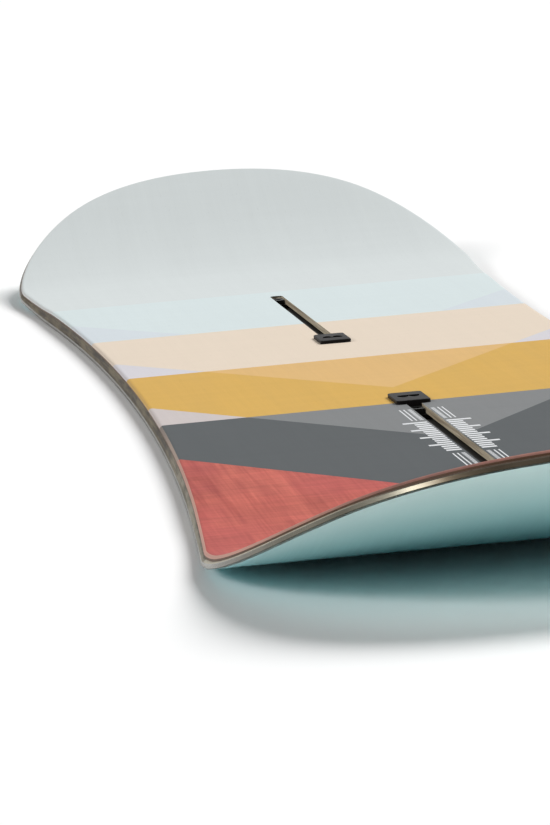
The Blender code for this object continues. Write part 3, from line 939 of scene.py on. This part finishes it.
def dark_sidewall():
    finish = Finish("dark_sidewall", Specular_IOR_Level=0.1)
    milled = finish.noise((22.0, 22.0, 1400.0), detail=5.0, roughness=0.65)
    blotch = finish.noise((28.0, 28.0, 160.0), detail=4.0, roughness=0.6, shift=5.0)
    streak = (milled * STREAKS_SHARE + blotch * (1 - STREAKS_SHARE)).ramp(*WALL_RAMP)
    dark = finish.mix(streak, ink(44, 37, 28), ink(108, 98, 78))
    lit_wall = finish.mix(streak, ink(96, 90, 76), ink(148, 142, 127))
    # Painted light: a paler copy of the wall takes over towards the nose
    painted_light_share = (finish.x + LIT_WALL_WANDER * (blotch - NOISE_MIDDLE)).ramp(*LIT_WALL_X)
    finish.colour(finish.mix(painted_light_share, dark, lit_wall))
    finish.roughness(milled, 0.45, 0.70)
    finish.bump(milled, 0.00004)
    return finish.material


wall_finish = dark_sidewall()
print("made", wall_finish.name)

# %% [markdown]
# The steel is bare and filed along its length, so its scratches are a noise that changes fast
# upwards and slowly along the rim. A file leaves it bright, and a darker copy of it is painted
# as shade over the nose from a little left of its middle rightwards. Bright steel shows mostly
# what stands round it, so its finish needs the white surroundings of the studio as much as its
# own colour.

# %% Steel finish
PATCH_RAMP = (0.35, 0.65)
STEEL_SHADE_Y = (-0.088, -0.072)
STEEL_SHADE_X = (0.66, 0.70)
STEEL_SHADE_WANDER = 0.02


def edge_steel():
    finish = Finish("edge_steel", Metallic=1.0)
    scratch = finish.noise((15.0, 15.0, 4000.0), detail=4.0)
    patch = finish.noise((35.0, 35.0, 35.0), detail=3.0)
    filed = finish.mix(patch.ramp(*PATCH_RAMP), ink(92, 89, 79), ink(112, 109, 98))
    shaded_steel = finish.mix(patch.ramp(*PATCH_RAMP), ink(58, 51, 42), ink(76, 68, 57))
    # Painted shade: the darker copy of the steel covers the nose from a little left of its middle
    # rightwards
    from_left = (finish.y + STEEL_SHADE_WANDER * (patch - NOISE_MIDDLE)).ramp(*STEEL_SHADE_Y)
    finish.colour(finish.mix(from_left * finish.x.ramp(*STEEL_SHADE_X), filed, shaded_steel))
    finish.roughness(scratch, 0.20, 0.34)
    finish.bump(scratch, 0.000008)
    return finish.material


steel_finish = edge_steel()
print("made", steel_finish.name)

# %% Base finish
LIT_RIM_REACH = (0.600, 0.715)
LIT_RIM_WANDER = 0.01
RIM_BEND = 2.4


def aqua_base():
    """Clear aqua plastic, ground along its length, with a paler band inside the rim that is painted
    light from the floor.
    """
    finish = Finish("aqua_base", Specular_IOR_Level=0.6)
    ground = finish.noise((12.0, 900.0, 1.0), detail=4.0)
    patch = finish.noise((9.0, 9.0, 9.0), detail=2.0)
    deep = finish.mix(patch.ramp(*CONTRAST), ink(160, 239, 245), ink(168, 242, 247))
    lit_near_rim = finish.mix(patch.ramp(*CONTRAST), ink(218, 243, 240), ink(224, 246, 243))
    # Painted light: the paler copy of the base covers a band inside the rims of both tips
    to_rim = abs(finish.x) + RIM_BEND * finish.y.squared()
    to_rim = to_rim + LIT_RIM_WANDER * (patch - NOISE_MIDDLE)
    finish.colour(finish.mix(to_rim.ramp(*LIT_RIM_REACH), deep, lit_near_rim))
    finish.roughness(ground, 0.18, 0.24)
    finish.bump(ground, 0.000003)
    return finish.material


base_finish = aqua_base()
print("made", base_finish.name)

# %% [markdown]
# The inner layers show only when the board is taken apart, but each is finished too: strips of
# two pale woods with their grain along the board, woven glass, rubber, and the channels'
# moulded parts. The channel's rails and stops are seen in the slots, and so are the nuts.

# %% Core wood
CORE_TONES = ((ink(214, 184, 138), ink(190, 154, 106)), (ink(226, 204, 164), ink(204, 176, 132)))
woods = [
    two_tone(
        f"core_wood_{number}",
        dict(stretch=(6.0, 500.0, 120.0), detail=5.0, roughness=0.6, shift=3.0 * number),
        tones,
        (0.6, 0.8),
        (0.35, 0.7),
        0.00005,
    )
    for number, tones in enumerate(CORE_TONES)
]
print("made", [wood.name for wood in woods])

# %% Glass fibre and rubber
WEAVE_RATE = 2400.0


def glass_fibre():
    """Two crossed waves stand for the yarns of the weave."""
    finish = Finish("glass_fibre")
    weave = (finish.x * WEAVE_RATE).sine() * (finish.y * WEAVE_RATE).sine()
    finish.colour(finish.mix(weave.ramp(-1.0, 1.0), ink(196, 200, 176), ink(220, 222, 202)))
    finish.roughness(weave, 0.4, 0.5)
    finish.bump(weave, 0.00002)
    return finish.material


glass = glass_fibre()
foil = two_tone(
    "black_foil",
    dict(stretch=(300.0, 300.0, 300.0)),
    (ink(26, 26, 27), ink(44, 44, 45)),
    (0.6, 0.8),
)
print("made", glass.name, foil.name)

# %% Channel plastics
slot_wall = two_tone(
    "channel_plastic",
    dict(stretch=(20.0, 900.0, 900.0), detail=4.0),
    (ink(142, 126, 104), ink(206, 196, 174)),
    (0.45, 0.65),
    (0.38, 0.62),
    0.00002,
)
channel_floor = two_tone(
    "channel_floor_plastic",
    dict(stretch=(60.0, 900.0, 100.0), detail=4.0),
    (ink(30, 30, 27), ink(48, 47, 43)),
    (0.5, 0.7),
    CONTRAST,
    0.00002,
)
stop = two_tone(
    "stop_plastic",
    dict(stretch=(400.0, 400.0, 400.0)),
    (ink(66, 65, 55), ink(92, 90, 78)),
    (0.5, 0.7),
)
print("made", slot_wall.name, channel_floor.name, stop.name)

# %% Nuts and covers
metal = two_tone(
    "nut_metal",
    dict(stretch=(500.0, 500.0, 500.0)),
    (ink(10, 10, 9), ink(20, 20, 18)),
    (0.35, 0.60),
    Metallic=0.6,
    Specular_IOR_Level=0.2,
)
moulded = dict(stretch=(1500.0, 1500.0, 1500.0), detail=2.0)
cover = two_tone(
    "cover_plastic",
    moulded,
    (ink(14, 13, 13), ink(24, 22, 22)),
    (0.42, 0.57),
    depth=0.00002,
    Specular_IOR_Level=0.06,
)
# Painted shade: a near-black copy of the cover's plastic for the floor and walls of the finger
# hollow
hollow = two_tone(
    "cover_hollow_painted_shade",
    moulded,
    (ink(3, 3, 3), ink(8, 7, 7)),
    (0.6, 0.8),
    Specular_IOR_Level=0.02,
)
print("made", metal.name, cover.name, hollow.name)

# %% [markdown]
# A piece can carry several finishes, one for each kind of face. Painting them by hand would
# have to be done again after every change of shape. Here each face is asked where it is and
# which way it looks: a wall of a slot shows the channel, the rolled rim is worn and carries
# painted light and shade, and the floor of a finger hollow has painted shade, a darker black
# than the cover round it.

# %% Finish the topsheet and the laminate at the rim
RIM_FACE, SLOT_FACE, SLOT_END_FACE = 1, 2, 3
VENEER_SLOT_FACE = 1
SLOT_ZONE = 0.009
WALL_TILT = 0.5
END_WALL = 0.4
ROLLED = 0.93


def coat(piece, *materials):
    piece.data.materials.clear()
    for material in materials:
        piece.data.materials.append(material)


def in_slot_wall(face):
    """Is this face one of the walls that the slots cut?"""
    in_slot = abs(face.center.y) < SLOT_ZONE and abs(face.center.x) < FLAT_HALF_LENGTH
    return in_slot and abs(face.normal.z) < WALL_TILT


coat(printed_topsheet, plain_print, worn_and_lit_print, slot_wall, stop)
coat(rim_veneer, brown_veneer, slot_wall)
for face in printed_topsheet.data.polygons:
    slope = height_and_slope(face.center.x)[1]
    upright = Vector((-slope, 0.0, 1.0)).normalized()
    if in_slot_wall(face):
        face.material_index = SLOT_END_FACE if abs(face.normal.x) > END_WALL else SLOT_FACE
    elif face.normal.dot(upright) < ROLLED:
        face.material_index = RIM_FACE
for face in rim_veneer.data.polygons:
    if in_slot_wall(face):
        face.material_index = VENEER_SLOT_FACE
rolled = sum(face.material_index == RIM_FACE for face in printed_topsheet.data.polygons)
print("worn faces on the rim", rolled)

# %% Finish the covers
SHADED_HOLLOW_FACE = 1
HOLLOW_LEVELS = (0.4 * HOLLOW_DEPTH, 1.1 * HOLLOW_DEPTH)


def in_hollow(face, middle, top):
    """Is this face the floor or a wall of the finger hollow?"""
    shallow, deep = HOLLOW_LEVELS
    sunk = shallow < top - face.center.z < deep
    in_length = abs(face.center.x - middle) < HOLLOW_LENGTH / 2 + MERGE
    return sunk and in_length and abs(face.center.y) < HOLLOW_WIDTH / 2 + MERGE


for cover_plate in (nose_cover_plate, tail_cover_plate):
    coat(cover_plate, cover, hollow)
    reach = [vertex.co.x for vertex in cover_plate.data.vertices]
    middle = (min(reach) + max(reach)) / 2
    top = max(vertex.co.z for vertex in cover_plate.data.vertices)
    for face in cover_plate.data.polygons:
        # The hollow's faces take the painted shade
        if in_hollow(face, middle, top):
            face.material_index = SHADED_HOLLOW_FACE
    sunk_faces = sum(face.material_index == SHADED_HOLLOW_FACE for face in cover_plate.data.polygons)
    print(cover_plate.name, "faces in the hollow", sunk_faces)

# %% Finish the rim's other pieces
for piece, material in (
    (nose_tip, spacer_finish),
    (tail_tip, spacer_finish),
    (sidewalls[0], wall_finish),
    (sidewalls[1], wall_finish),
    (steel_edge, steel_finish),
    (running_base, base_finish),
):
    coat(piece, material)
    print(piece.name, "has", material.name)

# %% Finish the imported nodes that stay
INNER_FINISHES = {
    "lower_laminate": glass,
    "edge_foil": foil,
    "_channel_floor": channel_floor,
    "_channel_rail": slot_wall,
    "_channel_stop": stop,
    "_nut_": metal,
}


def inner_finish(name):
    """The finish that goes with the node's name, or None where a dressed piece replaces it."""
    if name.startswith("core_strip"):
        last = name.rsplit("_", 1)[1]
        return woods[int(last) % len(woods) if last.isdigit() else 0]
    return next((finish for part, finish in INNER_FINISHES.items() if part in name), None)


staying = [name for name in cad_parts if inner_finish(name)]
for name in staying:
    coat(bpy.data.objects[name], inner_finish(name))
print("finishes on", len(staying), "packed nodes")

# %% [markdown]
# Each dressed piece has to move with the body that it belongs to and to hide the faceted
# nodes under it. The layers are glued, so they all ride on the board. A cover lifts off, so
# its plate rides on the cover's own body.

# %% Ride and replace
made = {
    printed_topsheet: (["topsheet"], "topsheet"),
    rim_veneer: (["upper_laminate"], "laminate"),
    nose_tip: (["nose_spacer"], "spacer"),
    tail_tip: (["tail_spacer"], "spacer"),
    sidewalls[0]: (["sidewall_left_front", "sidewall_left_rear"], "sidewall"),
    sidewalls[1]: (["sidewall_right_front", "sidewall_right_rear"], "sidewall"),
    steel_edge: (EDGE_NODES, "steel"),
    running_base: (BASE_NODES, "base"),
}
for piece, (nodes, slot) in made.items():
    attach(piece, "board")
    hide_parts(*nodes)
for piece, end in ((nose_cover_plate, "nose"), (tail_cover_plate, "tail")):
    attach(piece, f"{end}_cover")
    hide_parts(f"{end}_channel_cover")
print("visual pieces", len(made) + 2)

# %% [markdown]
# The board lies on a plain white floor under two soft lamps. The strong one stands high on the
# right and throws the shadow to the left. The weak one stands low on the left and puts the
# light on the steel edge. With the white sky they light a white surface to about white, so each
# colour renders about as written, and the floor keeps only the shadow. The sky is weak as a
# light but pure white where the camera or a gloss sees it, so that the steel has white to show.

# %% Floor
FLOOR_HALF_SIZE = 14.0
FLOOR_LEVEL = -0.0002


def studio_floor():
    shape = bmesh.new()
    corners = [(-1, -1), (1, -1), (1, 1), (-1, 1)]
    verts = [shape.verts.new((FLOOR_HALF_SIZE * x, FLOOR_HALF_SIZE * y, 0.0)) for x, y in corners]
    shape.faces.new(verts)
    floor = object_from("studio_floor", shape)
    floor.location.z = FLOOR_LEVEL
    white = two_tone(
        "floor_white",
        dict(stretch=(3.0, 3.0, 3.0), detail=2.0),
        (ink(252, 252, 252), ink(255, 255, 255)),
        (0.7, 0.8),
        Specular_IOR_Level=0.1,
    )
    coat(floor, white)
    return floor


print("made", studio_floor().name)

# %% Lamps
RIGHT_SHARE = 0.71
RIGHT_ELEVATION = math.radians(44.5)
RIGHT_TURN = math.radians(-70)
RIGHT_SOFTNESS = math.radians(30)
LEFT_SHARE = 0.195
LEFT_ELEVATION = math.radians(29.5)
LEFT_TURN = math.radians(106)
LEFT_SOFTNESS = math.radians(16)


def soft_lamp(name, share, elevation, turn, softness):
    """A far lamp that gives a level white surface its share of white. Turn 0 shines to the nose."""
    lamp = bpy.data.lights.new(name, "SUN")
    lamp.energy = share * math.pi / math.sin(elevation)
    lamp.angle = softness
    placed = bpy.data.objects.new(name, lamp)
    bpy.context.scene.collection.objects.link(placed)
    level_reach = math.cos(elevation)
    beam = (level_reach * math.cos(turn), level_reach * math.sin(turn), -math.sin(elevation))
    placed.rotation_euler = Vector(beam).to_track_quat("-Z", "Y").to_euler()
    print(name, "energy", round(lamp.energy, 3))


soft_lamp("right_lamp", RIGHT_SHARE, RIGHT_ELEVATION, RIGHT_TURN, RIGHT_SOFTNESS)
soft_lamp("left_lamp", LEFT_SHARE, LEFT_ELEVATION, LEFT_TURN, LEFT_SOFTNESS)

# %% Sky
SKY_SHARE = 0.12
WHITE = (1.0, 1.0, 1.0, 1.0)

world = bpy.data.worlds.new("studio_sky")
bpy.context.scene.world = world
world.use_nodes = True
sky = Network(world.node_tree)
background = sky.tree.nodes["Background"].inputs
ray = sky.node("ShaderNodeLightPath").outputs
seen = Value(sky, ray["Is Camera Ray"]).most(Value(sky, ray["Is Glossy Ray"]))
sky.feed(background["Strength"], SKY_SHARE + (1.0 - SKY_SHARE) * seen)
sky.feed(background["Color"], WHITE)
print("sky", SKY_SHARE, "and white where it is seen")

# %% [markdown]
# The camera looks along the board from the nose, a little down and a little from its left, as
# the photograph does. Its place could be given as three plain coordinates, but a point that
# it aims at, a distance and three turns say what each number does. The distance and the lens
# go together: they set how much narrower the far tip looks than the near one.

# %% Camera
CAMERA_AIM = Vector((0.0724, -0.0591, 0.0))
CAMERA_DISTANCE = 2.2334
CAMERA_YAW = -0.11326
CAMERA_PITCH = 0.13092
CAMERA_ROLL = -0.07427
LENS = 192.44
SENSOR = 36.0
CLIP_END = 50.0

forward = Vector((
    -math.cos(CAMERA_YAW) * math.cos(CAMERA_PITCH),
    -math.sin(CAMERA_YAW) * math.cos(CAMERA_PITCH),
    -math.sin(CAMERA_PITCH),
))
flat_right = Vector((-math.sin(CAMERA_YAW), math.cos(CAMERA_YAW), 0.0))
flat_up = flat_right.cross(forward)
right = math.cos(CAMERA_ROLL) * flat_right + math.sin(CAMERA_ROLL) * flat_up
up = math.cos(CAMERA_ROLL) * flat_up - math.sin(CAMERA_ROLL) * flat_right

lens = bpy.data.cameras.new("studio_camera")
lens.lens = LENS
lens.sensor_width = SENSOR
lens.clip_end = CLIP_END
camera = bpy.data.objects.new("studio_camera", lens)
bpy.context.scene.collection.objects.link(camera)
axes = Matrix((right, up, -forward)).transposed()
place = CAMERA_AIM - forward * CAMERA_DISTANCE
camera.matrix_world = Matrix.LocRotScale(place, axes.to_quaternion(), None)
bpy.context.scene.camera = camera
bpy.context.scene.view_settings.view_transform = "Standard"
print("camera at", [round(v, 3) for v in place])
